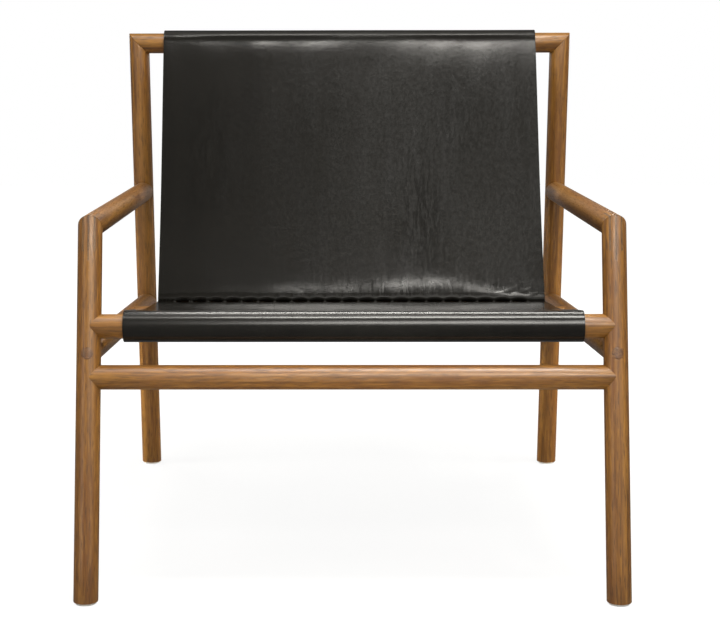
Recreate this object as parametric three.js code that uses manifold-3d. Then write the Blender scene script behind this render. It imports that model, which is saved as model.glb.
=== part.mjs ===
// Sling lounge chair: a frame of round hardwood bars, mitred and coped together,
// that carries one thick leather hide laced round a bar at the back of the seat.
// X runs left to right as seen from the front, Y from front to back, Z up from the floor.
import * as THREE from "three";
import { mergeVertices } from "three/addons/utils/BufferGeometryUtils.js";
import Module from "manifold-3d";

const wasm = await Module();
wasm.setup();

// Frame sizes in millimetres, angles in degrees; heights are those of bar axes above the floor
const OVERALL_WIDTH = 711;
const OVERALL_DEPTH = 798;
const BAR_D = 31.8;
const FRONT_LEG_RAKE = 13.4;
const BACK_POST_RAKE = 6;
const ARM_HEIGHT = 471;
const TOP_RAIL_HEIGHT = 712.5;
const FRONT_RAIL_HEIGHT = 344.5;
const SIDE_RAIL_DROP = 32;
const STRETCHER_DROP = 64;
const SIDE_RAIL_FALL = 29.5;
const REAR_RAIL_SETBACK = 427;
const FIT = 0.3;

// Loose tenons, round pins hidden in the coped and mitred joints
const TENON_D = 12;
const TENON_LENGTH = 48;
const TENON_PAST_AXIS = 6;
const CORNER_TENON_D = 8;
const CORNER_TENON_LENGTH = 24;

// Keys let into the mitre between leg and arm, and the plugged screw below it
const KEY_T = 2.4;
const KEY_PITCH = 7.6;
const MID_KEY_REACH = 16;
const SIDE_KEY_REACH = 10;
const PLUG_D = 15;
const PLUG_T = 6;
const SCREW_HEAD_D = 12;
const SCREW_HEAD_T = 4;
const SCREW_SHANK_D = 6;
const SCREW_LENGTH = 66;

// Glides nailed under the feet
const GLIDE_D = 27;
const GLIDE_T = 3;
const GLIDE_PIN_D = 4;
const GLIDE_PIN_LENGTH = 15;

// Leather hide, its seam at the back of the seat, and what fastens its two ends
const LEATHER_T = 4.2;
const BARE_RAIL = 25.6;
const BACK_BOW = 8;
const SEAT_SAG = 5;
const SEAM_RISE = 31.5;
const SEAM_ANGLE = 57;
const SEAM_GAP = 2;
const LIP_R = 6;
const TOP_WRAP_END = -70;
const FRONT_WRAP_END = 345;
const LACE_D = 2.2;
const STITCH_PITCH = 25.9;
const STITCH_MARGIN = 26;
const DOME_SCREWS = 7;
const DOME_SCREW_MARGIN = 40;
const DOME_SCREW_LENGTH = 20;
const DOME_SHANK_D = 3.5;
const DOME_HEAD_D = 9;
const DOME_HEAD_T = 3;
const TOP_DOME_ANGLE = -20;
const FRONT_DOME_ANGLE = 315;

// Facets of the round pieces
const BAR_SIDES = 32;
const PIN_SIDES = 12;
const DOME_SIDES = 8;
const SHANK_SIDES = 6;
const LACE_SIDES = 4;
const ARC_ERROR = 0.25;
const SPAN_STEPS = 8;

const LEFT_RIGHT = [
  { side: "left", s: -1 },
  { side: "right", s: 1 },
];
const AXIS_X = new THREE.Vector3(1, 0, 0);
const AXIS_Y = new THREE.Vector3(0, 1, 0);
const AXIS_Z = new THREE.Vector3(0, 0, 1);
const BAR_R = BAR_D / 2;
const SIDE_X = OVERALL_WIDTH / 2 - BAR_R;
const OVERRUN = 3 * BAR_D;
const BLOCK = 3 * OVERALL_WIDTH;
const MERGE = 0.02;
const QUARTER_TURN = 90;

const rad = THREE.MathUtils.degToRad;
const point = (x, y, z) => new THREE.Vector3(x, y, z);
const moved = (from, direction, distance) => from.clone().addScaledVector(direction, distance);
const towards = (from, to) => to.clone().sub(from).normalize();

// Materials: oiled brown hardwood, darker wood for keys, black leather, waxed thread, metal and nylon
const wood = new THREE.MeshStandardMaterial({ color: 0x8a6138, roughness: 0.55, metalness: 0 });
const darkWood = new THREE.MeshStandardMaterial({ color: 0x5b3d28, roughness: 0.55, metalness: 0 });
const leather = new THREE.MeshStandardMaterial({ color: 0x262625, roughness: 0.45, metalness: 0 });
const thread = new THREE.MeshStandardMaterial({ color: 0x1a1918, roughness: 0.7, metalness: 0 });
const steel = new THREE.MeshStandardMaterial({ color: 0x3a3836, roughness: 0.4, metalness: 1 });
const nylon = new THREE.MeshStandardMaterial({ color: 0xd8d6d0, roughness: 0.5, metalness: 0 });

// A closed geometry, placed by a matrix, as a solid that can be joined and cut
function solidOf(geometry, matrix = new THREE.Matrix4()) {
  const loose = geometry.index ? geometry.toNonIndexed() : geometry;
  const bare = new THREE.BufferGeometry();
  bare.setAttribute("position", loose.getAttribute("position").clone());
  bare.applyMatrix4(matrix);
  const merged = mergeVertices(bare, 1e-4);
  const vertProperties = merged.attributes.position.array;
  const triVerts = new Uint32Array(merged.index.array);
  return new wasm.Manifold(new wasm.Mesh({ numProp: 3, vertProperties, triVerts }));
}

// A solid as a named mesh whose own origin is at its anchor point
function piece(name, solid, anchor, material) {
  const { vertProperties, triVerts } = solid.getMesh();
  const geometry = new THREE.BufferGeometry();
  geometry.setAttribute("position", new THREE.BufferAttribute(new Float32Array(vertProperties), 3));
  geometry.setIndex(new THREE.BufferAttribute(new Uint32Array(triVerts), 1));
  geometry.translate(-anchor.x, -anchor.y, -anchor.z);
  geometry.computeVertexNormals();
  const mesh = new THREE.Mesh(geometry, material);
  mesh.name = name;
  mesh.position.copy(anchor);
  return mesh;
}

// A geometry whose own +Y is turned to a direction and whose own origin is put at a point
function placed(geometry, at, direction) {
  const turn = new THREE.Quaternion().setFromUnitVectors(AXIS_Y, direction);
  return solidOf(geometry, new THREE.Matrix4().compose(at, turn, point(1, 1, 1)));
}

// A round bar from one point to another
function rod(from, to, diameter, sides = BAR_SIDES) {
  const length = from.distanceTo(to);
  const geometry = new THREE.CylinderGeometry(diameter / 2, diameter / 2, length, sides);
  return placed(geometry, from.clone().lerp(to, 0.5), towards(from, to));
}

// A round bar that runs on past both of its ends
function longRod(from, to, diameter) {
  const along = towards(from, to);
  return rod(moved(from, along, -OVERRUN), moved(to, along, OVERRUN), diameter);
}

// All that lies on the far side of a plane, as a block that trims a piece there
function beyond(onPlane, normal) {
  const block = new THREE.BoxGeometry(BLOCK, BLOCK, BLOCK).translate(0, BLOCK / 2, 0);
  return placed(block, onPlane, normal);
}

// Axes of the side frames: the front leg and the back post lean towards each other
const frontFootY = BAR_R / Math.cos(rad(FRONT_LEG_RAKE)) - OVERALL_DEPTH / 2;
const backFootY = OVERALL_DEPTH / 2 - BAR_R / Math.cos(rad(BACK_POST_RAKE));
const legY = (z) => frontFootY + (z - GLIDE_T) * Math.tan(rad(FRONT_LEG_RAKE));
const postY = (z) => backFootY - (z - GLIDE_T) * Math.tan(rad(BACK_POST_RAKE));
const sideRailFrontZ = FRONT_RAIL_HEIGHT - SIDE_RAIL_DROP;
const sideRailBackZ = sideRailFrontZ - SIDE_RAIL_FALL;
const stretcherZ = FRONT_RAIL_HEIGHT - STRETCHER_DROP;
const rearRailY = legY(FRONT_RAIL_HEIGHT) + REAR_RAIL_SETBACK;
const sideRailRun = postY(sideRailBackZ) - legY(sideRailFrontZ);
const rearRailZ = sideRailFrontZ - (SIDE_RAIL_FALL * (rearRailY - legY(sideRailFrontZ))) / sideRailRun;

// Joint points of one side frame
function jointsOf(s) {
  const at = (y, z) => point(s * SIDE_X, y, z);
  return {
    legFoot: at(frontFootY, GLIDE_T),
    armCorner: at(legY(ARM_HEIGHT), ARM_HEIGHT),
    armBack: at(postY(ARM_HEIGHT), ARM_HEIGHT),
    postFoot: at(backFootY, GLIDE_T),
    topCorner: at(postY(TOP_RAIL_HEIGHT), TOP_RAIL_HEIGHT),
    frontRail: at(legY(FRONT_RAIL_HEIGHT), FRONT_RAIL_HEIGHT),
    stretcher: at(legY(stretcherZ), stretcherZ),
    sideRailFront: at(legY(sideRailFrontZ), sideRailFrontZ),
    sideRailBack: at(postY(sideRailBackZ), sideRailBackZ),
    rearRail: at(rearRailY, rearRailZ),
  };
}
const joints = { left: jointsOf(-1), right: jointsOf(1) };

const solids = new Map();
const anchors = new Map();
const materials = new Map();

function keep(name, solid, anchor, material) {
  solids.set(name, solid);
  anchors.set(name, anchor);
  materials.set(name, material);
}

function cut(names, cutter) {
  for (const name of names) solids.set(name, solids.get(name).subtract(cutter));
}

// The corner where a leg turns into an arm: the mitre plane and the keys across it
function mitreOf(before, corner, after) {
  const inwards = towards(corner, before).add(towards(corner, after)).normalize();
  const normal = towards(corner, after).sub(towards(corner, before)).normalize();
  return { inwards, normal };
}

// A flat plate across a corner, thin along X, that reaches in from outside as far as asked
function cornerPlate(corner, mitre, offset, thickness, reach) {
  const plate = new THREE.BoxGeometry(thickness, BLOCK, BLOCK);
  const middle = moved(corner, AXIS_X, offset).addScaledVector(mitre.inwards, reach - BLOCK / 2);
  const basis = new THREE.Matrix4().makeBasis(AXIS_X, mitre.normal, mitre.inwards);
  if (basis.determinant() < 0) basis.makeBasis(AXIS_X, mitre.normal.clone().negate(), mitre.inwards);
  return solidOf(plate, basis.setPosition(middle));
}

// Legs, posts, arms, side rails and corner keys of both side frames
for (const { side } of LEFT_RIGHT) {
  const j = joints[side];
  const legBar = longRod(j.legFoot, j.armCorner, BAR_D);
  const armBar = longRod(j.armCorner, j.armBack, BAR_D);
  const legClear = longRod(j.legFoot, j.armCorner, BAR_D + 2 * FIT);
  const postClear = longRod(j.postFoot, j.topCorner, BAR_D + 2 * FIT);
  const ground = beyond(j.legFoot, point(0, 0, -1));
  const mitre = mitreOf(j.legFoot, j.armCorner, j.armBack);
  const legTrim = (gap) => beyond(moved(j.armCorner, mitre.normal, -gap), mitre.normal);
  const armTrim = (gap) => beyond(moved(j.armCorner, mitre.normal, gap), mitre.normal.clone().negate());

  keep(`front_leg_${side}`, legBar.subtract(ground).subtract(legTrim(FIT / 2)), j.legFoot, wood);
  const arm = rod(moved(j.armCorner, AXIS_Y, -OVERRUN), j.armBack, BAR_D);
  keep(`arm_${side}`, arm.subtract(armTrim(FIT / 2)).subtract(postClear), j.armCorner, wood);
  const sideRail = rod(j.sideRailFront, j.sideRailBack, BAR_D);
  keep(`side_rail_${side}`, sideRail.subtract(legClear).subtract(postClear), j.sideRailFront, wood);

  const whole = legBar.subtract(legTrim(-MERGE)).add(armBar.subtract(armTrim(-MERGE)));
  const keys = [
    { place: "inner", offset: j.legFoot.x > 0 ? -KEY_PITCH : KEY_PITCH, reach: SIDE_KEY_REACH },
    { place: "middle", offset: 0, reach: MID_KEY_REACH },
    { place: "outer", offset: j.legFoot.x > 0 ? KEY_PITCH : -KEY_PITCH, reach: SIDE_KEY_REACH },
  ];
  for (const { place, offset, reach } of keys) {
    const key = cornerPlate(j.armCorner, mitre, offset, KEY_T, reach).intersect(whole);
    keep(`arm_key_${place}_${side}`, key, j.armCorner, darkWood);
    const slot = cornerPlate(j.armCorner, mitre, offset, KEY_T + 2 * FIT, reach + FIT);
    cut([`front_leg_${side}`, `arm_${side}`], slot);
  }
}

// Cross bars: the top rail is mitred to the posts, the others are coped to what they meet
const topRail = longRod(joints.left.topCorner, joints.right.topCorner, BAR_D);
keep("top_rail", topRail, joints.left.topCorner, wood);
for (const { side, s } of LEFT_RIGHT) {
  const j = joints[side];
  const inwards = point(-s, 0, 0);
  const mitre = mitreOf(j.postFoot, j.topCorner, moved(j.topCorner, inwards, OVERALL_WIDTH));
  const postBar = longRod(j.postFoot, j.topCorner, BAR_D).subtract(beyond(j.postFoot, point(0, 0, -1)));
  const postTop = beyond(moved(j.topCorner, mitre.normal, -FIT / 2), mitre.normal);
  keep(`back_post_${side}`, postBar.subtract(postTop), j.postFoot, wood);
  cut(["top_rail"], beyond(moved(j.topCorner, mitre.normal, FIT / 2), mitre.normal.clone().negate()));
}

const crossBars = [
  { name: "front_rail", joint: "frontRail" },
  { name: "front_stretcher", joint: "stretcher" },
  { name: "rear_rail", joint: "rearRail" },
];
for (const { name, joint } of crossBars) {
  keep(name, rod(joints.left[joint], joints.right[joint], BAR_D), joints.left[joint], wood);
}
for (const { side } of LEFT_RIGHT) {
  const j = joints[side];
  cut(["front_rail", "front_stretcher"], longRod(j.legFoot, j.armCorner, BAR_D + 2 * FIT));
  const sideRailClear = rod(j.sideRailFront, j.sideRailBack, BAR_D + 2 * FIT);
  cut(["front_rail", "front_stretcher", "rear_rail"], sideRailClear);
}

// A loose tenon across a joint, and the holes for it in the two bars that it pins
function pin(name, from, to, diameter, bars) {
  keep(name, rod(from, to, diameter, PIN_SIDES), from, wood);
  const along = towards(from, to);
  cut(bars, rod(moved(from, along, -FIT), moved(to, along, FIT), diameter + 2 * FIT, PIN_SIDES));
}

function tenon(name, onAxis, direction, bars) {
  const from = moved(onAxis, direction, -TENON_PAST_AXIS);
  pin(name, from, moved(from, direction, TENON_LENGTH), TENON_D, bars);
}

for (const { side, s } of LEFT_RIGHT) {
  const j = joints[side];
  const inwards = point(-s, 0, 0);
  tenon(`front_rail_tenon_${side}`, j.frontRail, inwards, ["front_rail", `front_leg_${side}`]);
  tenon(`stretcher_tenon_${side}`, j.stretcher, inwards, ["front_stretcher", `front_leg_${side}`]);
  tenon(`rear_rail_tenon_${side}`, j.rearRail, inwards, ["rear_rail", `side_rail_${side}`]);
  tenon(`arm_tenon_${side}`, j.armBack, point(0, -1, 0), [`arm_${side}`, `back_post_${side}`]);
  const railForward = towards(j.sideRailBack, j.sideRailFront);
  tenon(`side_rail_tenon_${side}`, j.sideRailBack, railForward, [`side_rail_${side}`, `back_post_${side}`]);
  const across = mitreOf(j.postFoot, j.topCorner, moved(j.topCorner, inwards, OVERALL_WIDTH)).normal;
  const cornerFrom = moved(j.topCorner, across, -CORNER_TENON_LENGTH / 2);
  const cornerTo = moved(j.topCorner, across, CORNER_TENON_LENGTH / 2);
  pin(`top_corner_tenon_${side}`, cornerFrom, cornerTo, CORNER_TENON_D, ["top_rail", `back_post_${side}`]);
}

// Screw through each front leg into the end of the side rail, under a wooden plug
for (const { side } of LEFT_RIGHT) {
  const j = joints[side];
  const back = towards(j.sideRailFront, j.sideRailBack);
  const headFront = moved(j.sideRailFront, back, PLUG_T - BAR_R);
  const headBack = moved(headFront, back, SCREW_HEAD_T);
  const tip = moved(headBack, back, SCREW_LENGTH - SCREW_HEAD_T);
  const face = moved(headFront, back, -BAR_D);
  const head = rod(headFront, headBack, SCREW_HEAD_D, PIN_SIDES);
  const shank = rod(moved(headBack, back, -MERGE), tip, SCREW_SHANK_D, PIN_SIDES);
  keep(`side_rail_screw_${side}`, head.add(shank), headFront, steel);
  const legBar = longRod(j.legFoot, j.armCorner, BAR_D);
  const plug = rod(face, moved(headFront, back, -FIT), PLUG_D, BAR_SIDES).intersect(legBar);
  keep(`screw_plug_${side}`, plug, j.sideRailFront, wood);
  const shankHole = rod(headFront, moved(tip, back, FIT), SCREW_SHANK_D + 2 * FIT, PIN_SIDES);
  cut([`front_leg_${side}`, `side_rail_${side}`], shankHole);
  const boreD = Math.max(PLUG_D, SCREW_HEAD_D) + 2 * FIT;
  cut([`front_leg_${side}`], rod(face, moved(headBack, back, FIT), boreD, BAR_SIDES));
}

// Nylon glides: a disc under each foot on a pin driven into the end grain
for (const { side } of LEFT_RIGHT) {
  const feet = [
    { end: "front", foot: joints[side].legFoot, bar: `front_leg_${side}` },
    { end: "back", foot: joints[side].postFoot, bar: `back_post_${side}` },
  ];
  for (const { end, foot, bar } of feet) {
    const floor = point(foot.x, foot.y, 0);
    const discTop = moved(foot, AXIS_Z, -FIT);
    const pinTop = moved(discTop, AXIS_Z, GLIDE_PIN_LENGTH);
    const disc = rod(floor, discTop, GLIDE_D);
    const glidePin = rod(moved(discTop, AXIS_Z, -MERGE), pinTop, GLIDE_PIN_D, PIN_SIDES);
    keep(`glide_${end}_${side}`, disc.add(glidePin), floor, nylon);
    const pinHole = rod(floor, moved(pinTop, AXIS_Z, FIT), GLIDE_PIN_D + 2 * FIT, PIN_SIDES);
    cut([bar], pinHole);
  }
}

// The hide's line in side view: circles joined by their tangents, turning left where r is positive,
// each with the bow of the free span that leads to it
const flat = (y, z) => new THREE.Vector2(y, z);
const headingOf = (degrees) => flat(Math.cos(rad(degrees)), Math.sin(rad(degrees)));
const leftOf = (heading) => flat(-heading.y, heading.x);

const wrapR = BAR_R + FIT + LEATHER_T / 2;
const topAxis = flat(joints.left.topCorner.y, joints.left.topCorner.z);
const rearAxis = flat(joints.left.rearRail.y, joints.left.rearRail.z);
const frontAxis = flat(joints.left.frontRail.y, joints.left.frontRail.z);
const seamOut = headingOf(180 - SEAM_ANGLE);
const seam = rearAxis.clone().addScaledVector(seamOut, SEAM_RISE);
const lipOffset = SEAM_GAP / 2 + LEATHER_T / 2 + LIP_R;
const bends = [
  { centre: topAxis, r: wrapR, bow: 0 },
  { centre: seam.clone().addScaledVector(leftOf(seamOut), -lipOffset), r: LIP_R, bow: BACK_BOW },
  { centre: rearAxis, r: -wrapR, bow: 0 },
  { centre: seam.clone().addScaledVector(leftOf(seamOut), lipOffset), r: LIP_R, bow: 0 },
  { centre: frontAxis, r: wrapR, bow: SEAT_SAG },
];

// Heading of the straight line that leaves one bend and meets the next
function tangentHeading(from, to) {
  const between = to.centre.clone().sub(from.centre);
  const lean = Math.asin((to.r - from.r) / between.length());
  return THREE.MathUtils.radToDeg(between.angle() - lean);
}

// Points round a bend from one heading to another, each with its left-hand normal
function bendPoints(bend, fromHeading, toHeading) {
  const step = 2 * Math.acos(1 - ARC_ERROR / Math.abs(bend.r));
  const steps = Math.ceil(rad(Math.abs(toHeading - fromHeading)) / step);
  return Array.from({ length: steps + 1 }, (_, i) => {
    const normal = leftOf(headingOf(fromHeading + ((toHeading - fromHeading) * i) / steps));
    return { at: bend.centre.clone().addScaledVector(normal, -bend.r), normal };
  });
}

// Points inside a free span, bowed to its left by a smooth hump
function spanPoints(from, to, bow) {
  const along = to.clone().sub(from);
  const normal = leftOf(along.clone().normalize());
  return Array.from({ length: SPAN_STEPS - 1 }, (_, i) => {
    const share = (i + 1) / SPAN_STEPS;
    const hump = bow * Math.sin(Math.PI * share) ** 2;
    return { at: from.clone().addScaledVector(along, share).addScaledVector(normal, hump), normal };
  });
}

// Keeps a heading within half a turn of the one that the bend expects, on the bend's own side
function nextHeading(heading, turn, previous) {
  let next = heading;
  while (turn > 0 && next < previous) next += 360;
  while (turn < 0 && next > previous) next -= 360;
  return next;
}

function hideLine() {
  const line = [];
  let heading = TOP_WRAP_END + QUARTER_TURN;
  bends.forEach((bend, i) => {
    const last = i === bends.length - 1;
    const leaving = last ? FRONT_WRAP_END + QUARTER_TURN : tangentHeading(bend, bends[i + 1]);
    const target = nextHeading(leaving, bend.r, heading);
    const turned = bendPoints(bend, heading, target);
    if (bend.bow) line.push(...spanPoints(line.at(-1).at, turned[0].at, bend.bow));
    line.push(...turned);
    heading = target;
  });
  return line;
}

const hide = hideLine();
const hideWidth = 2 * (SIDE_X - BAR_R - BARE_RAIL);

function slingSolid() {
  const edge = (side) => hide.map((p) => p.at.clone().addScaledVector(p.normal, (side * LEATHER_T) / 2));
  const outline = new THREE.Shape([...edge(-1), ...edge(1).reverse()]);
  const geometry = new THREE.ExtrudeGeometry(outline, { depth: hideWidth, bevelEnabled: false, steps: 1 });
  const upright = new THREE.Matrix4().makeBasis(AXIS_Y, AXIS_Z, AXIS_X).setPosition(-hideWidth / 2, 0, 0);
  return solidOf(geometry, upright);
}
keep("leather_sling", slingSolid(), point(0, rearRailY, rearRailZ), leather);

// Lacing: one cord that crosses the mouth of the seam at each stitch, and runs on inside the upper lip
// and inside the lower lip by turns
function stitchPoints() {
  const reach = SEAM_GAP / 2 + LEATHER_T + LACE_D / 2 + 2 * FIT;
  return [-reach, reach].map((distance) => seam.clone().addScaledVector(leftOf(seamOut), distance));
}

function lacePath() {
  const crossing = stitchPoints();
  const stitches = Math.floor((hideWidth - 2 * STITCH_MARGIN) / STITCH_PITCH) + 1;
  const path = [];
  for (let i = 0; i < stitches; i++) {
    const x = (i - (stitches - 1) / 2) * STITCH_PITCH;
    const order = i % 2 ? [...crossing].reverse() : crossing;
    path.push(...order.map((p) => point(x, p.x, p.y)));
  }
  return path;
}

// A tube with a ring of points at each corner of its path, turned to halve the corner
function cornerTube(path, radius, sides) {
  const positions = [];
  const faces = [];
  let side = AXIS_X.clone();
  path.forEach((p, i) => {
    const before = i ? towards(path[i - 1], p) : towards(p, path[1]);
    const after = i < path.length - 1 ? towards(p, path[i + 1]) : before;
    const along = before.clone().add(after).normalize();
    side = side.addScaledVector(along, -side.dot(along));
    if (side.length() < 0.1) side = AXIS_Z.clone().addScaledVector(along, -along.z);
    side.normalize();
    const up = along.clone().cross(side);
    for (let k = 0; k < sides; k++) {
      const turn = (2 * Math.PI * k) / sides;
      const spot = moved(p, side, radius * Math.cos(turn)).addScaledVector(up, radius * Math.sin(turn));
      positions.push(spot.x, spot.y, spot.z);
    }
  });
  const ring = (i, k) => i * sides + (k % sides);
  for (let i = 0; i < path.length - 1; i++) {
    for (let k = 0; k < sides; k++) {
      faces.push(ring(i, k), ring(i, k + 1), ring(i + 1, k + 1));
      faces.push(ring(i, k), ring(i + 1, k + 1), ring(i + 1, k));
    }
  }
  for (let k = 1; k < sides - 1; k++) {
    faces.push(ring(0, 0), ring(0, k + 1), ring(0, k));
    const end = path.length - 1;
    faces.push(ring(end, 0), ring(end, k), ring(end, k + 1));
  }
  const geometry = new THREE.BufferGeometry();
  geometry.setAttribute("position", new THREE.Float32BufferAttribute(positions, 3));
  geometry.setIndex(faces);
  return solidOf(geometry);
}

const laces = lacePath();
keep("seam_lacing", cornerTube(laces, LACE_D / 2, LACE_SIDES), laces[0], thread);
cut(["leather_sling"], cornerTube(laces, LACE_D / 2 + FIT, LACE_SIDES));

// Dome-headed screws that hold the two ends of the hide to the top rail and the front rail
function domeScrew(name, axis, x, angle, rail) {
  const out = headingOf(angle);
  const outwards = point(0, out.x, out.y);
  const axisPoint = point(x, axis.x, axis.y);
  const seat = moved(axisPoint, outwards, BAR_R + LEATHER_T + 2 * FIT);
  const shankEnd = moved(seat, outwards, DOME_HEAD_T - DOME_SCREW_LENGTH);
  const rim = DOME_HEAD_T / 3;
  const dome = new THREE.EllipseCurve(0, rim, DOME_HEAD_D / 2, DOME_HEAD_T - rim, 0, Math.PI / 2);
  const profile = [flat(0, 0), flat(DOME_HEAD_D / 2, 0), ...dome.getPoints(2)];
  const head = placed(new THREE.LatheGeometry(profile, DOME_SIDES), seat, outwards);
  const shank = rod(shankEnd, moved(seat, outwards, MERGE), DOME_SHANK_D, SHANK_SIDES);
  keep(name, head.add(shank), seat, steel);
  const holeEnd = moved(shankEnd, outwards, -FIT);
  const hole = rod(holeEnd, moved(seat, outwards, FIT), DOME_SHANK_D + 2 * FIT, SHANK_SIDES);
  cut([rail, "leather_sling"], hole);
}

const screwSpan = hideWidth - 2 * DOME_SCREW_MARGIN;
for (let i = 0; i < DOME_SCREWS; i++) {
  const x = (i / (DOME_SCREWS - 1) - 0.5) * screwSpan;
  domeScrew(`top_dome_screw_${i + 1}`, topAxis, x, TOP_DOME_ANGLE, "top_rail");
  domeScrew(`front_dome_screw_${i + 1}`, frontAxis, x, FRONT_DOME_ANGLE, "front_rail");
}

const chair = new THREE.Group();
chair.name = "sling_lounge_chair";
for (const [name, solid] of solids) {
  chair.add(piece(name, solid, anchors.get(name), materials.get(name)));
}

export default chair;
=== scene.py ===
import math

import bmesh
import bpy
from mathutils import Matrix, Quaternion, Vector, noise


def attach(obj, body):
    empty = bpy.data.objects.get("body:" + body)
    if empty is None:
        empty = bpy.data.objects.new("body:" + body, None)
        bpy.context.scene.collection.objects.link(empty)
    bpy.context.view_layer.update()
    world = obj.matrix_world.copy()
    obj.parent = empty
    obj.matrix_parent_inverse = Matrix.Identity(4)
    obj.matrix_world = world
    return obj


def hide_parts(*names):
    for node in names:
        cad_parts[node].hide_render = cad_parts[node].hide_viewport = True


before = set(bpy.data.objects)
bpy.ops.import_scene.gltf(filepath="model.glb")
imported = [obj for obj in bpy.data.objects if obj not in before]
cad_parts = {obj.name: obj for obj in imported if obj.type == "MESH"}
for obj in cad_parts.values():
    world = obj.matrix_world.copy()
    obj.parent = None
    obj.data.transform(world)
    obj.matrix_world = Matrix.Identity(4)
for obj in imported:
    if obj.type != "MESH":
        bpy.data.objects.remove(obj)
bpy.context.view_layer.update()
print("frame loaded,", len(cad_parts), "CAD nodes")

# sizes of the frame, in metres and degrees, the same as in the part's source
chair = {
    "width": 0.711, "depth": 0.798, "barD": 0.0318, "glideT": 0.003,
    "frontRake": 13.4, "backRake": 6.0,
    "armZ": 0.471, "topZ": 0.7125, "frontRailZ": 0.3445,
    "sideDrop": 0.032, "stretcherDrop": 0.064, "sideFall": 0.0295, "rearSetback": 0.427,
}
barR = chair["barD"] / 2
sideX = chair["width"] / 2 - barR
frontRake = math.radians(chair["frontRake"])
backRake = math.radians(chair["backRake"])
frontFootY = barR / math.cos(frontRake) - chair["depth"] / 2
backFootY = chair["depth"] / 2 - barR / math.cos(backRake)
sideFrontZ = chair["frontRailZ"] - chair["sideDrop"]
sideBackZ = sideFrontZ - chair["sideFall"]
acrossX = Vector((1, 0, 0))


def legPoint(x, z):  # on a front leg's axis
    return Vector((x, frontFootY + (z - chair["glideT"]) * math.tan(frontRake), z))


def postPoint(x, z):  # on a back post's axis
    return Vector((x, backFootY - (z - chair["glideT"]) * math.tan(backRake), z))


def sideRailPoint(x, back):  # on a side rail's axis, some way behind the front rail
    front = legPoint(x, sideFrontZ)
    rear = postPoint(x, sideBackZ)
    share = (legPoint(x, chair["frontRailZ"]).y + back - front.y) / (rear.y - front.y)
    return front.lerp(rear, share)


# materials

def newMaterial(name):
    mat = bpy.data.materials.new(name)
    mat.use_nodes = True
    return mat, mat.node_tree, mat.node_tree.nodes["Principled BSDF"]


def add(tree, kind, inputs=None, **props):  # a node, its settings, and its inputs as values or links
    node = tree.nodes.new(kind)
    for key, value in props.items():
        setattr(node, key, value)
    for key, value in (inputs or {}).items():
        if isinstance(value, bpy.types.NodeSocket):
            tree.links.new(value, node.inputs[key])
        else:
            node.inputs[key].default_value = value
    return node


def attributeOf(tree, name):
    return add(tree, "ShaderNodeAttribute", attribute_name=name).outputs


def objectPlace(tree):
    return add(tree, "ShaderNodeTexCoord").outputs["Object"]


def ramp(tree, fac, places, colours):
    node = add(tree, "ShaderNodeValToRGB", {"Fac": fac})
    points = node.color_ramp.elements
    while len(points) < len(places):
        points.new(0.5)
    for point, place, colour in zip(points, places, colours):
        point.position = place
        point.color = (*colour, 1)
    return node.outputs["Color"]


def mixColour(tree, fac, base, colour):  # inputs 0, 6 and 7 are the share and the two colours
    return add(tree, "ShaderNodeMix", {0: fac, 6: base, 7: (*colour, 1)}, data_type="RGBA").outputs[2]


def maths(tree, what, a, b=0.0):
    return add(tree, "ShaderNodeMath", {0: a, 1: b}, operation=what).outputs[0]


def weighed(tree, *pairs):  # a sum of fields, each with its weight
    parts = [maths(tree, "MULTIPLY", field, weight) for field, weight in pairs]
    total = parts[0]
    for part in parts[1:]:
        total = maths(tree, "ADD", total, part)
    return total


def spread(tree, value, low, high, toLow, toHigh):
    return add(tree, "ShaderNodeMapRange", {0: value, 1: low, 2: high, 3: toLow, 4: toHigh}).outputs[0]


def noiseOf(tree, vector, scale, detail, rough, warp=0.0):
    return add(tree, "ShaderNodeTexNoise", {
        "Vector": vector, "Scale": scale, "Detail": detail, "Roughness": rough, "Distortion": warp,
    }).outputs["Fac"]


def stretched(tree, vector, scale, turn=(0, 0, 0)):
    return add(tree, "ShaderNodeMapping", {"Vector": vector, "Scale": scale, "Rotation": turn}).outputs[0]


def coat(tree, shader, colour, rough, height, strength, depth):  # colour, roughness and relief
    tree.links.new(colour, shader.inputs["Base Color"])
    tree.links.new(rough, shader.inputs["Roughness"])
    relief = add(tree, "ShaderNodeBump", {"Strength": strength, "Distance": depth, "Height": height})
    tree.links.new(relief.outputs[0], shader.inputs["Normal"])


# tones: dark, body, pale and red; fields: scale, stretch along the bar, detail and roughness
# mixes: from, to, and the shares there
oiledWood = {
    "tones": ((0.082, 0.030, 0.004), (0.180, 0.073, 0.007), (0.288, 0.133, 0.021), (0.124, 0.041, 0.006)),
    "toneStops": (0.22, 0.46, 0.60, 0.80),
    "drift": (9, 9, 1.6), "driftX": (0.0, 1.0, -0.012, 0.012), "driftY": (0.0, 1.0, 0.010, -0.010),
    "rings": {"Scale": 38.0, "Distortion": 3.2, "Detail": 3.0, "Detail Scale": 0.8, "Detail Roughness": 0.6},
    "ringStretch": 0.05, "ringShare": 0.38, "bandShare": 0.62,
    "bands": (150.0, 0.03, 3.0, 0.55), "fibres": (1300.0, 0.045, 3.0, 0.6),
    "dashes": (520.0, 0.10, 2.0, 0.55), "patches": (22.0, 0.22, 3.0, 0.5),
    "flecks": (360.0, 0.075, 2.0, 0.6), "broad": (62.0, 0.045, 2.0, 0.5),
    "patchMix": (0.52, 0.74, 0.0, 0.62), "paleMix": (0.52, 0.68, 0.0, 0.60),
    "redMix": (0.46, 0.32, 0.0, 0.55), "fibreMix": (0.34, 0.66, 0.45, 0.0),
    "fleckMix": (0.50, 0.70, 0.0, 0.55), "poreMix": (0.54, 0.70, 0.0, 0.80),
    "poreShade": 0.75, "poreRough": 0.15, "rough": (0.3, 0.7, 0.45, 0.33),
    "fibreHeight": 0.35, "bump": 0.14, "bumpDepth": 0.0004, "specular": 0.68,
}


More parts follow.
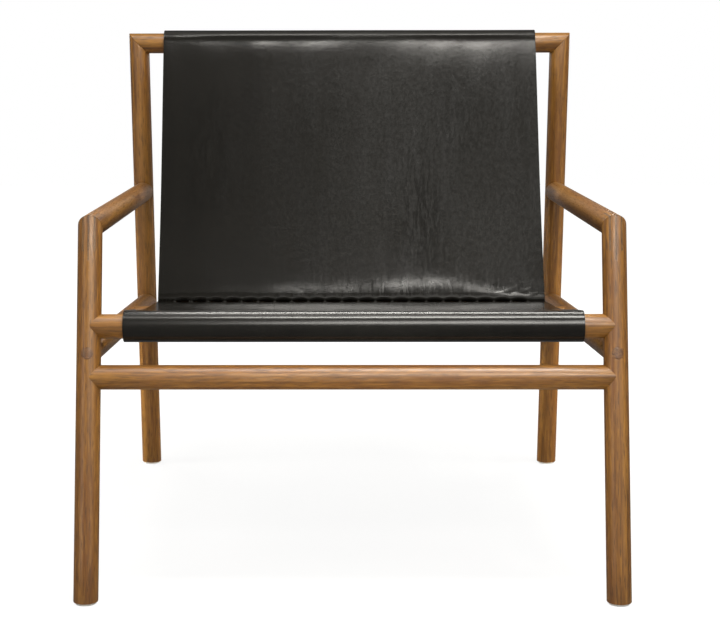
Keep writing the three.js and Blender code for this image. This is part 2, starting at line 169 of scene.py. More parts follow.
def makeWood(name, look, turn=None, tone=1.0):
    mat, tree, shader = newMaterial(name)
    if turn is None:  # the bar's own length and cross section
        grain = attributeOf(tree, "grain")["Vector"]
    else:
        grain = stretched(tree, objectPlace(tree), (1, 1, 1), turn=turn)
    drift = noiseOf(tree, stretched(tree, grain, look["drift"]), 1.0, 2.0, 0.5)
    lean = add(tree, "ShaderNodeCombineXYZ", {
        "X": spread(tree, drift, *look["driftX"]), "Y": spread(tree, drift, *look["driftY"])}).outputs[0]
    bent = add(tree, "ShaderNodeVectorMath", {0: grain, 1: lean}, operation="ADD").outputs[0]

    def fieldOf(key, vector):
        scale, stretch, detail, rough = look[key]
        return noiseOf(tree, stretched(tree, vector, (1, 1, stretch)), scale, detail, rough)

    rings = add(tree, "ShaderNodeTexWave", {
        "Vector": stretched(tree, bent, (1, 1, look["ringStretch"])), **look["rings"],
    }, wave_type="RINGS", rings_direction="Z", wave_profile="SAW").outputs["Fac"]
    growth = weighed(tree, (rings, look["ringShare"]), (fieldOf("bands", bent), look["bandShare"]))
    fibres = fieldOf("fibres", grain)
    broad = fieldOf("broad", bent)
    pores = spread(tree, fieldOf("dashes", bent), *look["poreMix"])
    dark, body, pale, red = (tuple(c * tone for c in colour) for colour in look["tones"])
    base = ramp(tree, growth, look["toneStops"], (dark, body, body, pale))
    for field, mix, colour in (
            (fieldOf("patches", grain), "patchMix", red), (broad, "paleMix", pale), (broad, "redMix", red),
            (fibres, "fibreMix", dark), (fieldOf("flecks", bent), "fleckMix", pale)):
        base = mixColour(tree, spread(tree, field, *look[mix]), base, colour)
    base = mixColour(tree, pores, base, tuple(c * look["poreShade"] for c in dark))
    rough = weighed(tree, (spread(tree, fibres, *look["rough"]), 1.0), (pores, look["poreRough"]))
    height = weighed(tree, (fibres, look["fibreHeight"]), (pores, -1.0))
    coat(tree, shader, base, rough, height, look["bump"], look["bumpDepth"])
    shader.inputs["Specular IOR Level"].default_value = look["specular"]
    return mat


keyTones = ((0.058, 0.028, 0.012), (0.118, 0.058, 0.018), (0.180, 0.095, 0.034), (0.085, 0.038, 0.016))
plugTones = ((0.050, 0.019, 0.005), (0.108, 0.045, 0.012), (0.210, 0.100, 0.035), (0.110, 0.042, 0.014))
wood = makeWood("oiled wood", oiledWood)
tenonWood = makeWood("tenon wood", oiledWood, turn=(0, math.pi / 2, 0), tone=1.1)
keyWood = makeWood("key wood", {**oiledWood, "tones": keyTones}, turn=(math.radians(35), 0, 0))
plugWood = makeWood("plug end wood", {**oiledWood, "tones": plugTones}, turn=(math.pi / 2, 0, 0))

# black hide: a smooth waxed grain side, a rougher flesh side and burnished edges
# fields: stretch across and along the cut, scale, detail, roughness and warp
hideLook = {
    "dark": (0.0040, 0.0036, 0.0029), "worn": (0.0078, 0.0072, 0.0060), "toneStops": (0.34, 0.64),
    "cloud": ((1, 1, 1), 7.0, 4.0, 0.55, 0.6), "streak": ((46, 5.5, 1), 1.0, 4.0, 0.62, 0.4),
    "fine": ((1, 0.55, 1), 210.0, 4.0, 0.6, 0.0), "mottle": ((1, 0.8, 1), 85.0, 4.0, 0.62, 0.5),
    "crease": ((100, 15, 1), 1.0, 3.0, 0.55, 0.9), "creaseTurn": 0.17, "creaseLine": (0.0, 0.09, 1.0, 0.0),
    "creasePaintedShade": 0.5, "creaseRough": (0.0, 1.0, 1.0, 0.72), "creaseDepth": 0.30,
    "stria": ((210, 24, 1), 1.0, 3.0, 0.6, 0.4), "striaRange": (0.34, 0.66, -0.38, 0.38),
    "toneShares": {"cloud": 0.55, "streak": 0.45},
    "shineShares": {"streak": 0.30, "cloud": 0.24, "fine": 0.46},
    "heightShares": {"fine": 0.75, "streak": 0.45, "mottle": 1.0},
    "poreScale": 950.0, "poreHeight": -0.25, "rough": (0.36, 0.64, 0.28, 0.19), "rollEven": 0.85,
    "bump": 0.20, "rollBump": 0.05, "bumpDepth": 0.0008, "specular": 0.36, "lipShadedSpecular": 0.17,
}


def makeGrainSide(name, look, specular):
    mat, tree, shader = newMaterial(name)
    flat = attributeOf(tree, "hide")["Vector"]  # width and length on the flat cut
    worn = attributeOf(tree, "wear")["Vector"]  # dullness, striations and creases of each part
    wear = add(tree, "ShaderNodeSeparateXYZ", {0: worn}).outputs
    polish = attributeOf(tree, "polish")["Fac"]  # 1 on the front roll

    def fieldOf(key, turn=0.0):
        stretch, *rest = look[key]
        return noiseOf(tree, stretched(tree, flat, stretch, turn=(0, 0, turn)), *rest)

    fields = {key: fieldOf(key) for key in ("cloud", "streak", "fine", "mottle")}

    def blendOf(key):
        return weighed(tree, *((fields[name], share) for name, share in look[key].items()))

    offLine = maths(tree, "SUBTRACT", fieldOf("crease", look["creaseTurn"]), 0.5)
    creases = spread(tree, maths(tree, "ABSOLUTE", offLine), *look["creaseLine"])
    creases = maths(tree, "MULTIPLY", creases, wear["Z"])
    stria = maths(tree, "MULTIPLY", spread(tree, fieldOf("stria"), *look["striaRange"]), wear["Y"])
    base = ramp(tree, blendOf("toneShares"), look["toneStops"], (look["dark"], look["worn"]))
    # painted shade: along the creases the colour is darkened towards the dark tone
    base = mixColour(tree, maths(tree, "MULTIPLY", creases, look["creasePaintedShade"]), base, look["dark"])
    shine = blendOf("shineShares")
    toMiddle = maths(tree, "SUBTRACT", 0.5, shine)
    even = maths(tree, "MULTIPLY", toMiddle, maths(tree, "MULTIPLY", polish, look["rollEven"]))
    shine = maths(tree, "ADD", shine, even)
    rough = maths(tree, "MULTIPLY", spread(tree, shine, *look["rough"]), wear["X"])
    marks = maths(tree, "ADD", stria, spread(tree, creases, *look["creaseRough"]))
    rough = maths(tree, "MULTIPLY", rough, marks)
    cells = {"Vector": flat, "Scale": look["poreScale"], "Randomness": 1.0}
    pores = add(tree, "ShaderNodeTexVoronoi", cells, feature="SMOOTH_F1").outputs["Distance"]
    height = maths(tree, "ADD", blendOf("heightShares"), stria)
    height = weighed(tree, (pores, look["poreHeight"]), (height, 1.0), (creases, -look["creaseDepth"]))
    strength = spread(tree, polish, 0.0, 1.0, look["bump"], look["rollBump"])
    coat(tree, shader, base, rough, height, strength, look["bumpDepth"])
    shader.inputs["Specular IOR Level"].default_value = specular
    return mat


fleshLook = {
    "nap": (900.0, 4.0, 0.65), "cloud": (22.0, 4.0, 0.6, 0.8), "napShare": 0.55, "cloudShare": 0.45,
    "stops": (0.36, 0.66), "tones": ((0.028, 0.026, 0.023), (0.058, 0.053, 0.046)),
    "rough": (0.3, 0.7, 0.78, 0.92), "bump": 0.5, "bumpDepth": 0.0006, "specular": 0.25,
}


def makeFleshSide(look):
    mat, tree, shader = newMaterial("black hide, flesh side")
    flat = attributeOf(tree, "hide")["Vector"]
    nap = noiseOf(tree, flat, *look["nap"])
    cloud = noiseOf(tree, flat, *look["cloud"])
    tone = weighed(tree, (nap, look["napShare"]), (cloud, look["cloudShare"]))
    base = ramp(tree, tone, look["stops"], look["tones"])
    coat(tree, shader, base, spread(tree, cloud, *look["rough"]), nap, look["bump"], look["bumpDepth"])
    shader.inputs["Specular IOR Level"].default_value = look["specular"]
    return mat


# surfaces with two tones, a roughness and a relief, all from one field
edgeLook = {
    "onHide": True, "stretch": (60, 260, 60), "noise": (1.0, 4.0, 0.6),
    "stops": (0.36, 0.66), "tones": ((0.011, 0.010, 0.009), (0.024, 0.021, 0.018)),
    "rough": (0.3, 0.7, 0.42, 0.62), "bump": 0.3, "bumpDepth": 0.0005,
}
threadLook = {
    "stretch": (1, 1, 1), "turn": (0, 0.6, 0.7), "twist": {"Scale": 190.0, "Distortion": 1.0},
    "stops": (0.2, 0.8), "tones": ((0.026, 0.025, 0.023), (0.070, 0.067, 0.062)),
    "rough": (0.0, 1.0, 0.46, 0.30), "bump": 0.6, "bumpDepth": 0.0003,
}
zincLook = {
    "stretch": (600, 120, 600), "noise": (1.0, 3.0, 0.6), "metallic": 1.0,
    "stops": (0.3, 0.7), "tones": ((0.48, 0.48, 0.46), (0.66, 0.66, 0.65)),
    "rough": (0.3, 0.7, 0.42, 0.28), "bump": 0.12, "bumpDepth": 0.0002,
}
blackLook = {
    **zincLook, "tones": ((0.055, 0.053, 0.050), (0.105, 0.102, 0.098)), "rough": (0.3, 0.7, 0.50, 0.34),
}
nylonLook = {
    "stretch": (1, 1, 1), "noise": (320.0, 4.0, 0.6),
    "stops": (0.3, 0.7), "tones": ((0.60, 0.585, 0.55), (0.76, 0.75, 0.72)),
    "rough": (0.3, 0.7, 0.52, 0.38), "bump": 0.15, "bumpDepth": 0.0003,
}


def makePlain(name, look):
    mat, tree, shader = newMaterial(name)
    place = attributeOf(tree, "hide")["Vector"] if look.get("onHide") else objectPlace(tree)
    place = stretched(tree, place, look["stretch"], turn=look.get("turn", (0, 0, 0)))
    if "twist" in look:
        field = add(tree, "ShaderNodeTexWave", {"Vector": place, **look["twist"]}, wave_type="BANDS",
                    bands_direction="X").outputs["Fac"]
    else:
        field = noiseOf(tree, place, *look["noise"])
    base = ramp(tree, field, look["stops"], look["tones"])
    coat(tree, shader, base, spread(tree, field, *look["rough"]), field, look["bump"], look["bumpDepth"])
    shader.inputs["Metallic"].default_value = look.get("metallic", 0.0)
    return mat


grainSide = makeGrainSide("black hide, grain side", hideLook, hideLook["specular"])
# a copy of the grain side that reflects less, used on the lip and along the top edge: partly duller bent
# leather, partly painted shade
lipDullAndShaded = makeGrainSide("black hide, dull lip, painted shade", hideLook, hideLook["lipShadedSpecular"])
fleshSide = makeFleshSide(fleshLook)
cutEdge = makePlain("black hide, burnished edge", edgeLook)
hideMaterials = [grainSide, fleshSide, cutEdge, lipDullAndShaded, fleshSide, cutEdge]  # thickness adds 1, the rim 2
lipSlot = hideMaterials.index(lipDullAndShaded)
thread = makePlain("waxed black thread", threadLook)
zincSteel = makePlain("zinc plated steel", zincLook)
blackSteel = makePlain("blackened steel", blackLook)
nylon = makePlain("moulded nylon", nylonLook)
print("materials made,", len(bpy.data.materials), "in the file")


# shared ways of making pieces

def linked(name, data):  # an object of the scene
    piece = bpy.data.objects.new(name, data)
    bpy.context.scene.collection.objects.link(piece)
    return piece


def meshFrom(name, bm):
    mesh = bpy.data.meshes.new(name)
    bm.to_mesh(mesh)
    bm.free()
    return mesh


def finishPiece(name, bm, materials, node):
    piece = linked(name, meshFrom(name, bm))
    for mat in materials:
        piece.data.materials.append(mat)
    for face in piece.data.polygons:
        face.use_smooth = True
    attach(piece, "root")
    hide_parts(node)
    return piece


def solidPiece(node, bm, material, smooth=40):  # named after its CAD node, topRail for top_rail
    first, *rest = node.split("_")
    name = first + "".join(word.title() for word in rest)
    bmesh.ops.recalc_face_normals(bm, faces=bm.faces)
    piece = finishPiece(name, bm, [material], node)
    piece.data.set_sharp_from_angle(angle=math.radians(smooth))
    return piece


def turnTo(direction):  # turns +Z onto a direction
    return direction.to_track_quat("Z", "Y").to_matrix().to_4x4()


def roundOff(bm, edges, width, steps):
    bmesh.ops.bevel(bm, geom=edges, offset=width, offset_type="OFFSET", segments=steps, profile=0.5,
                    affect="EDGES", material=-1)


barLook = {
    "sides": 96, "wallCorners": 8, "ease": 0.0006, "easeSteps": 2, "gap": 0.0002, "rings": 10,
    "footSpare": 0.03, "mitreSpare": 0.05,
    "pith": (0.026, 0.019), "pithStep": (0.011, 0.013), "grainSlide": 0.83, "grainSpin": 2.1,
}
halfGap = barLook["gap"] / 2
mateR = barR + barLook["gap"]


def rodInto(bm, start, end, radius=barR, sides=barLook["sides"]):
    along = end - start
    place = Matrix.Translation((start + end) / 2) @ turnTo(along)
    bmesh.ops.create_cone(bm, cap_ends=True, segments=sides, radius1=radius, radius2=radius,
                          depth=along.length, matrix=place)


# slides points along a bar to the round side of the bar that it meets
def copeTo(points, along, matePoint, mateAlong, radius, outside):
    run = along - mateAlong * along.dot(mateAlong)
    a = run.dot(run)
    for v in points:
        off = v.co - matePoint
        off -= mateAlong * off.dot(mateAlong)
        b = run.dot(off)
        root = math.sqrt(max(b * b - a * (off.dot(off) - radius ** 2), 0.0))
        v.co += along * ((-b - root if outside else -b + root) / a)


def sliced(bm, point, normal, clear):
    geom = bm.verts[:] + bm.edges[:] + bm.faces[:]
    made = bmesh.ops.bisect_plane(bm, geom=geom, plane_co=point, plane_no=normal, clear_outer=clear)
    return made["geom_cut"]


def cutAt(bm, point, normal):  # cuts away what is past the plane and closes the end
    made = sliced(bm, point, normal, True)
    bmesh.ops.edgeloop_fill(bm, edges=[e for e in made if isinstance(e, bmesh.types.BMEdge)])


def endFaces(bm):  # faces with more corners than a bar's wall has
    return [f for f in bm.faces if len(f.verts) > barLook["wallCorners"]]


def farSide(bm, start, end):  # the points of the end face at `end`
    along = (end - start).normalized()
    middle = (end - start).length / 2
    return [v for v in bm.verts if (v.co - start).dot(along) > middle]


def finishBar(node, bm, start, end, ease):  # rounds on the end rims, and rings that keep the faces short
    roundOff(bm, [e for f in endFaces(bm) for e in f.edges], ease, barLook["easeSteps"])
    for i in range(1, barLook["rings"]):
        sliced(bm, start.lerp(end, i / barLook["rings"]), (end - start).normalized(), False)
    return solidPiece(node, bm, wood)


def grainOn(piece, start, end, seed):  # gives the wood its own line of growth in each bar
    back = turnTo(end - start).inverted() @ Matrix.Translation(-start)
    pithX = barLook["pith"][0] + barLook["pithStep"][0] * ((seed * 7) % 5)
    pithY = barLook["pith"][1] + barLook["pithStep"][1] * ((seed * 3) % 4)
    pith = Vector((pithX, pithY, barLook["grainSlide"] * seed))
    spin = Matrix.Rotation(seed * barLook["grainSpin"], 4, "Z")
    layer = piece.data.attributes.new("grain", "FLOAT_VECTOR", "POINT")
    for v, value in zip(piece.data.vertices, layer.data):
        value.vector = spin @ (back @ v.co) + pith


def toolFrom(bm):
    bmesh.ops.recalc_face_normals(bm, faces=bm.faces)
    return linked("tool", meshFrom("tool", bm))


def carve(piece, tools, smooth=40):  # takes the tools' shapes out of a piece
    for tool in tools:
        cut = piece.modifiers.new("cut", "BOOLEAN")
        cut.operation = "DIFFERENCE"
        cut.solver = "EXACT"
        cut.object = tool
    shape = piece.evaluated_get(bpy.context.evaluated_depsgraph_get())
    mesh = bpy.data.meshes.new_from_object(shape)
    piece.modifiers.clear()
    piece.data = mesh
    for tool in tools:
        bpy.data.objects.remove(tool)
    mesh.set_sharp_from_angle(angle=math.radians(smooth))


def standingBar(node, foot, head, mitre):  # a leg or post: level at the foot, mitred at its head
    along = (head - foot).normalized()
    bm = bmesh.new()
    rodInto(bm, foot - along * barLook["footSpare"], head + along * barLook["mitreSpare"])
    cutAt(bm, head - mitre * halfGap, mitre)
    cutAt(bm, foot, Vector((0, 0, -1)))
    return finishBar(node, bm, foot, head, barLook["ease"])


def copedBar(node, start, end, mates, seed):  # a bar with both ends hollowed to the bars they meet
    bm = bmesh.new()
    rodInto(bm, start, end)
    along = (end - start).normalized()
    endPoints = (farSide(bm, end, start), farSide(bm, start, end))
    for points, (matePoint, mateAlong), outside in zip(endPoints, mates, (False, True)):
        copeTo(points, along, matePoint, mateAlong, mateR, outside)
    piece = finishBar(node, bm, start, end, barLook["ease"] / 2)
    grainOn(piece, start, end, seed)


keyLook = {
    "thick": 0.0024, "pitch": 0.0076, "midReach": 0.016, "sideReach": 0.010, "glueGap": 0.00006,
    "slotLong": 0.12, "slotTall": 0.06,
}


def keySlots(corner, mitre, inward):  # cutters for the three keys across an arm's mitre
    axes = Matrix((acrossX, mitre, -inward)).transposed().to_4x4()
    size = (keyLook["thick"] + 2 * keyLook["glueGap"], keyLook["slotLong"], keyLook["slotTall"])
    tools = []
    for i in (-1, 0, 1):
        reach = keyLook["sideReach"] if i else keyLook["midReach"]
        deep = reach + keyLook["glueGap"] - keyLook["slotTall"] / 2
        centre = corner + acrossX * i * keyLook["pitch"] + inward * deep
        bm = bmesh.new()
        bmesh.ops.create_cube(bm, size=1.0)
        bmesh.ops.scale(bm, vec=size, verts=bm.verts)
        bmesh.ops.transform(bm, matrix=Matrix.Translation(centre) @ axes, verts=bm.verts)
        tools.append(toolFrom(bm))
    return tools


plugLook = {
    "d": 0.015, "thick": 0.006, "gap": 0.00012, "boreSpare": 0.04, "sides": 64,
    "insets": 4, "insetStep": 0.0016, "faceBand": 0.0001, "sink": 0.00005,
    "rimAngle": 50, "ease": 0.0003, "easeSteps": 2,
}
plugR = plugLook["d"] / 2
for side, sign, seed in (("left", -1, 0), ("right", 1, 4)):
    x = sign * sideX
    foot = legPoint(x, chair["glideT"])
    corner = legPoint(x, chair["armZ"])
    armBack = postPoint(x, chair["armZ"])
    railFront = legPoint(x, sideFrontZ)
    railBack = postPoint(x, sideBackZ)
    postFoot = postPoint(x, chair["glideT"])
    top = postPoint(x, chair["topZ"])
    legUp = (corner - foot).normalized()
    postUp = (top - postFoot).normalized()
    backward = (armBack - corner).normalized()
    railAlong = (railBack - railFront).normalized()
    mitre = (backward + legUp).normalized()  # across the mitre, towards the arm
    inward = (backward - legUp).normalized()  # along the mitre, into the corner
    topMitre = (postUp - acrossX * sign).normalized()  # across the upper mitre, towards the rail
    boreEnd = railFront + railAlong * (plugLook["thick"] - barR)

    # front leg, with slots for the keys and a bore for the plug
    leg = standingBar("front_leg_" + side, foot, corner, mitre)
    boreStart = railFront - railAlong * plugLook["boreSpare"]
    bm = bmesh.new()
    rodInto(bm, boreStart, boreEnd, plugR + plugLook["gap"], plugLook["sides"])
    carve(leg, keySlots(corner, mitre, inward) + [toolFrom(bm)])
    grainOn(leg, foot, corner, seed + 1)

    # arm: on the mitre in front, hollowed to the post behind
    bm = bmesh.new()
    rodInto(bm, corner - backward * barLook["mitreSpare"], armBack)
    copeTo(farSide(bm, corner, armBack), backward, armBack, postUp, mateR, True)
    cutAt(bm, corner + mitre * halfGap, -mitre)
    arm = finishBar("arm_" + side, bm, corner, armBack, barLook["ease"] / 2)
    carve(arm, keySlots(corner, mitre, inward))
    grainOn(arm, corner, armBack, seed + 2)

    post = standingBar("back_post_" + side, postFoot, top, topMitre)
    grainOn(post, postFoot, top, seed + 3)
    copedBar("side_rail_" + side, railFront, railBack, ((foot, legUp), (postFoot, postUp)), seed + 4)

    # plug over the side rail's screw, its face worked to the leg's round
    bm = bmesh.new()
    rodInto(bm, railFront - railAlong * barR, boreEnd, plugR, plugLook["sides"])
    front = min(endFaces(bm), key=lambda f: f.calc_center_median().y)
    for i in range(plugLook["insets"]):
        bmesh.ops.inset_region(bm, faces=[front], thickness=plugLook["insetStep"], use_even_offset=True)
    faceAt = plugLook["faceBand"] - barR
    facePoints = [v for v in bm.verts if (v.co - railFront).dot(railAlong) < faceAt]
    copeTo(facePoints, railAlong, foot, legUp, barR - plugLook["sink"], True)
    sharp = math.radians(plugLook["rimAngle"])
    rim = [e for e in bm.edges if len(e.link_faces) == 2 and e.calc_face_angle(0) > sharp]
    roundOff(bm, rim, plugLook["ease"], plugLook["easeSteps"])
    solidPiece("screw_plug_" + side, bm, plugWood)
print("legs, arms, posts and side rails made")

# top rail, mitred at both ends
topLeft = postPoint(-sideX, chair["topZ"])
topRight = postPoint(sideX, chair["topZ"])
spare = acrossX * barLook["mitreSpare"]
bm = bmesh.new()
rodInto(bm, topLeft - spare, topRight + spare)
for sign, end in ((-1, topLeft), (1, topRight)):
    postUp = (end - postPoint(end.x, chair["glideT"])).normalized()
    topMitre = (postUp - acrossX * sign).normalized()
    cutAt(bm, end + topMitre * halfGap, -topMitre)
topRail = finishBar("top_rail", bm, topLeft, topRight, barLook["ease"])
grainOn(topRail, topLeft, topRight, 11)

legAlong = (legPoint(0, 1) - legPoint(0, 0)).normalized()
sideAlong = (sideRailPoint(0, 1) - sideRailPoint(0, 0)).normalized()
stretcherZ = chair["frontRailZ"] - chair["stretcherDrop"]
for node, end, mateAlong, seed in (
        ("front_rail", legPoint(sideX, chair["frontRailZ"]), legAlong, 12),
        ("front_stretcher", legPoint(sideX, stretcherZ), legAlong, 13),
        ("rear_rail", sideRailPoint(sideX, chair["rearSetback"]), sideAlong, 14)):
    start = Vector((-end.x, end.y, end.z))
    copedBar(node, start, end, ((start, mateAlong), (end, mateAlong)), seed)
print("cross rails made")

keptFinishes = {"_tenon_": tenonWood, "_key_": keyWood, "side_rail_screw": zincSteel}
for name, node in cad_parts.items():  # the CAD pieces that stay, in their finishes
    for mark, finish in keptFinishes.items():
        if mark in name:
            node.data.materials.clear()
            node.data.materials.append(finish)

# glides: a low turned button under each foot
glideLook = {
    "d": 0.027, "thick": 0.003, "clear": 0.00005, "sides": 64, "soleBand": 0.001, "round": 0.0011,
    "roundSteps": 4, "pinD": 0.004, "pinRoot": 0.0002, "pinLength": 0.012, "pinSides": 24, "smooth": 50,
}
for side, sign in (("left", -1), ("right", 1)):
    for where, point in (("front", legPoint), ("back", postPoint)):
        foot = point(sign * sideX, chair["glideT"])
        bm = bmesh.new()
        bmesh.ops.create_circle(bm, cap_ends=True, segments=glideLook["sides"], radius=glideLook["d"] / 2,
                                matrix=Matrix.Translation((foot.x, foot.y, 0)))
        lifted = bmesh.ops.extrude_face_region(bm, geom=bm.faces[:])["geom"]
        upper = [v for v in lifted if isinstance(v, bmesh.types.BMVert)]
        bmesh.ops.translate(bm, vec=(0, 0, glideLook["thick"] - glideLook["clear"]), verts=upper)
        rim = [e for e in bm.edges if max(v.co.z for v in e.verts) < glideLook["soleBand"]]
        roundOff(bm, rim, glideLook["round"], glideLook["roundSteps"])
        pinFrom = Vector((foot.x, foot.y, glideLook["thick"] - glideLook["pinRoot"]))
        pinTo = Vector((foot.x, foot.y, glideLook["thick"] + glideLook["pinLength"]))
        rodInto(bm, pinFrom, pinTo, glideLook["pinD"] / 2, glideLook["pinSides"])
        solidPiece("glide_" + where + "_" + side, bm, nylon, glideLook["smooth"])
print("glides made")


# the hide is one sheet from behind the top rail, down the back, round the rear rail and over the front rail

hideCut = {
    "width": 0.5962, "thick": 0.0042, "fit": 0.0003, "leftTrim": 0.0039, "topEnd": -70.0, "frontEnd": 345.0,
    "seamAt": (-0.0195, 0.0253), "mouthAngle": 36.0, "seamGap": 0.0005, "lipR": 0.0030,
    "backBow": 0.0078, "bowHigh": 0.6, "bowLower": 0.8, "seatSag": 0.005,
    "arcStep": 0.0008, "spanStep": 0.0012, "columns": 138,
    "edgeRound": 0.0011, "edgeSteps": 3, "edgeAngle": 62,
}
halfWidth = hideCut["width"] / 2


def leftOf(d):
    return Vector((-d.y, d.x))


def heading(angle):
    return Vector((math.cos(angle), math.sin(angle)))


def following(angle, before, way):  # the same angle in the turn after another one
    while way * (angle - before) < 0:
        angle += way * 2 * math.pi
    while way * (angle - before) > 2 * math.pi:
        angle -= way * 2 * math.pi
    return angle


def spanBow(cut, span, share):  # how far a free span hangs off its straight line
    if span == 1:  # the back, fuller low down
        return cut["backBow"] * 4 * share * (1 - share) * (cut["bowHigh"] + cut["bowLower"] * share)
    if span == 4:  # the seat
        return cut["seatSag"] * math.sin(math.pi * share) ** 2
    return 0.0


def hideLine(cut):  # the hide's middle line from the side, as (y, z) points, and where its bends are
    topAxis = postPoint(0, chair["topZ"]).yz
    rearAxis = sideRailPoint(0, chair["rearSetback"]).yz
    frontAxis = legPoint(0, chair["frontRailZ"]).yz
    wrapR = barR + cut["fit"] + cut["thick"] / 2
    out = heading(math.radians(180 - cut["mouthAngle"]))  # the way the seam's mouth faces
    seam = rearAxis + Vector(cut["seamAt"])
    lipOff = leftOf(out) * (cut["seamGap"] / 2 + cut["thick"] / 2 + cut["lipR"])
    bends = [(topAxis, wrapR), (seam - lipOff, cut["lipR"]), (rearAxis, -wrapR),
             (seam + lipOff, cut["lipR"]), (frontAxis, wrapR)]
    turns = [math.radians(cut["topEnd"] + 90)]
    for (c1, r1), (c2, r2) in zip(bends, bends[1:]):
        gap = c2 - c1
        aim = math.atan2(gap.y, gap.x) - math.asin((r2 - r1) / gap.length)
        turns.append(following(aim, turns[-1], 1 if r1 > 0 else -1))
    turns.append(following(math.radians(cut["frontEnd"] + 90), turns[-1], 1))
    points = []
    marks = []
    for i, (centre, r) in enumerate(bends):
        swing = turns[i + 1] - turns[i]
        steps = max(8, int(abs(swing) * abs(r) / cut["arcStep"]))
        arc = [centre - leftOf(heading(turns[i] + swing * k / steps)) * r for k in range(steps + 1)]
        if i:
            a = points[-1]
            b = arc[0]
            side = leftOf((b - a).normalized())
            count = max(4, int((b - a).length / cut["spanStep"]))
            for k in range(1, count):
                points.append(a.lerp(b, k / count) + side * spanBow(cut, i, k / count))
        marks.append((len(points), len(points) + steps))
        points += arc
    lengths = [0.0]
    for a, b in zip(points, points[1:]):
        lengths.append(lengths[-1] + (b - a).length)
    return points, lengths, [(lengths[a], lengths[b]) for a, b in marks], out


linePoints, lineLengths, bendAt, seamOut = hideLine(hideCut)
hideLength = lineLengths[-1]
topLeave = bendAt[0][1]  # where the back leaves the top rail
upperLip = sum(bendAt[1]) / 2
lowerLip = sum(bendAt[3]) / 2
rollStart, rollEnd = bendAt[4]  # the roll over the front rail
backLength = upperLip - topLeave
print("hide is", round(hideLength, 4), "m long on its middle line")


def fade(value, start, over):  # from 0 at the start to 1
    return min(1.0, max(0.0, (value - start) / over))


def hump(value, at, width):
    return math.exp(-((value - at) / width) ** 2)


def blend(a, b, share):
    return a + (b - a) * share


def ripple(x, s, high, across, along, y, z):  # noise over the flat hide: height, rates and offsets
    return high * noise.noise(Vector((x * across, s * along + y, z)))


def onLine(s):  # a point of the line and its grain-side normal
    low = 0
    high = len(lineLengths) - 1
    while high - low > 1:
        middle = (low + high) // 2
        if lineLengths[middle] <= s:
            low = middle
        else:
            high = middle
    share = fade(s, lineLengths[low], max(lineLengths[high] - lineLengths[low], 1e-9))
    before = linePoints[max(low - 2, 0)]
    after = linePoints[min(high + 2, len(linePoints) - 1)]
    return linePoints[low].lerp(linePoints[high], share), -leftOf((after - before).normalized())


# for each bend, how far the finest rows reach past it and their step
rowLook = {
    "lip": (0.012, 0.0012), "fold": (0.010, 0.0013), "top": (0.002, 0.0030), "rear": (0.002, 0.0040),
    "front": (0.002, 0.0026), "growth": 0.15, "most": 0.0125,
}


def rowPlaces():  # rows of the sheet, closer together where it bends
    stretches = [(upperLip, upperLip, *rowLook["lip"]), (lowerLip, lowerLip, *rowLook["lip"]),
                 (topLeave, topLeave, *rowLook["fold"]), (*bendAt[0], *rowLook["top"]),
                 (*bendAt[2], *rowLook["rear"]), (*bendAt[4], *rowLook["front"])]
    places = [0.0]
    while places[-1] < hideLength:
        s = places[-1]
        steps = [rowLook["most"]]
        for start, end, reach, fine in stretches:
            steps.append(fine + rowLook["growth"] * max(0.0, start - reach - s, s - end - reach))
        places.append(s + min(steps))
    scale = hideLength / places[-1]
    return [s * scale for s in places]


# how far the lips open between the stitches, which way, and how each stitch pulls
seamLook = {
    "stitches": 22, "pitch": 0.0259, "gather": 0.6, "band": 0.013, "beside": 0.02,
    "openUp": 0.0026, "upWay": (0.36, 0.93), "upReach": 0.010, "openVary": (0.22, 0.83, 0, 4.1, 0),
    "openShape": 0.85, "openDown": 0.0008, "downWay": (-0.55, -0.83), "downReach": 0.008,
    "endLift": 0.0016, "endWay": (0.35, 0.94), "endReach": 0.010, "endOver": 0.008,
    "pinchUp": 0.0022, "pinchWidth": 0.10, "pinchAt": (0.0045, 0.0036),
}
lastStitch = seamLook["stitches"] - 1


def inStitches(x):  # a place across the hide, counted in stitches from the left
    return x / seamLook["pitch"] + lastStitch / 2


def columnPlace(u):  # columns gather at the stitches, where the hide bends most across
    if abs(u) > 0.9999:
        return math.copysign(halfWidth, u)
    wave = math.sin(2 * math.pi * inStitches(u * halfWidth)) / (2 * math.pi)
    return u * halfWidth - seamLook["gather"] * wave * seamLook["pitch"]


def seamOpen(x):  # how far the lips stand open at x, nothing at a stitch
    along = inStitches(x)
    if not 0 < along < lastStitch:
        return 0.0
    gap = math.floor(along)
    fullness = 1.0 + ripple(gap, 0, *seamLook["openVary"])
    return fullness * math.sin(math.pi * (along - gap)) ** seamLook["openShape"]


def stitchPull(x):  # 1 at a stitch, gone a few millimetres away
    along = inStitches(x)
    return hump(along, min(max(round(along), 0), lastStitch), seamLook["pinchWidth"])


def seamMove(x, s):
    look = seamLook
    move = Vector((0.0, 0.0))
    opened = seamOpen(x)
    if s < upperLip + look["beside"]:
        move += Vector(look["upWay"]) * look["openUp"] * opened * hump(s, upperLip, look["upReach"])
    if s > lowerLip - look["beside"]:
        pastEnd = fade(abs(x), look["pitch"] * lastStitch / 2, look["endOver"])  # there the lips press shut
        move += Vector(look["endWay"]) * look["endLift"] * pastEnd * hump(s, lowerLip, look["endReach"])
        move += Vector(look["downWay"]) * look["openDown"] * opened * hump(s, lowerLip, look["downReach"])
        move.y += look["pinchUp"] * stitchPull(x) * hump(s - lowerLip, *look["pinchAt"])
    return move


foldLook = {
    "standOff": 0.0010, "stand": (-0.024, 0.016), "slope": 0.25, "width": 0.0030, "at": -0.0043,
    "leftFull": 0.55, "left": (-0.29, 0.12), "sway": (0.0030, 8, 0, 2.2, 0),
    "swellSlope": 0.105, "swellFrom": 0.0036, "swellLength": 0.0150, "swellStart": 0.0030,
    "swellLeast": 0.2, "swellVary": (0.45, 26, 0, 6.3, 0), "longer": 1.1, "long": (0.08, 0.15),
}


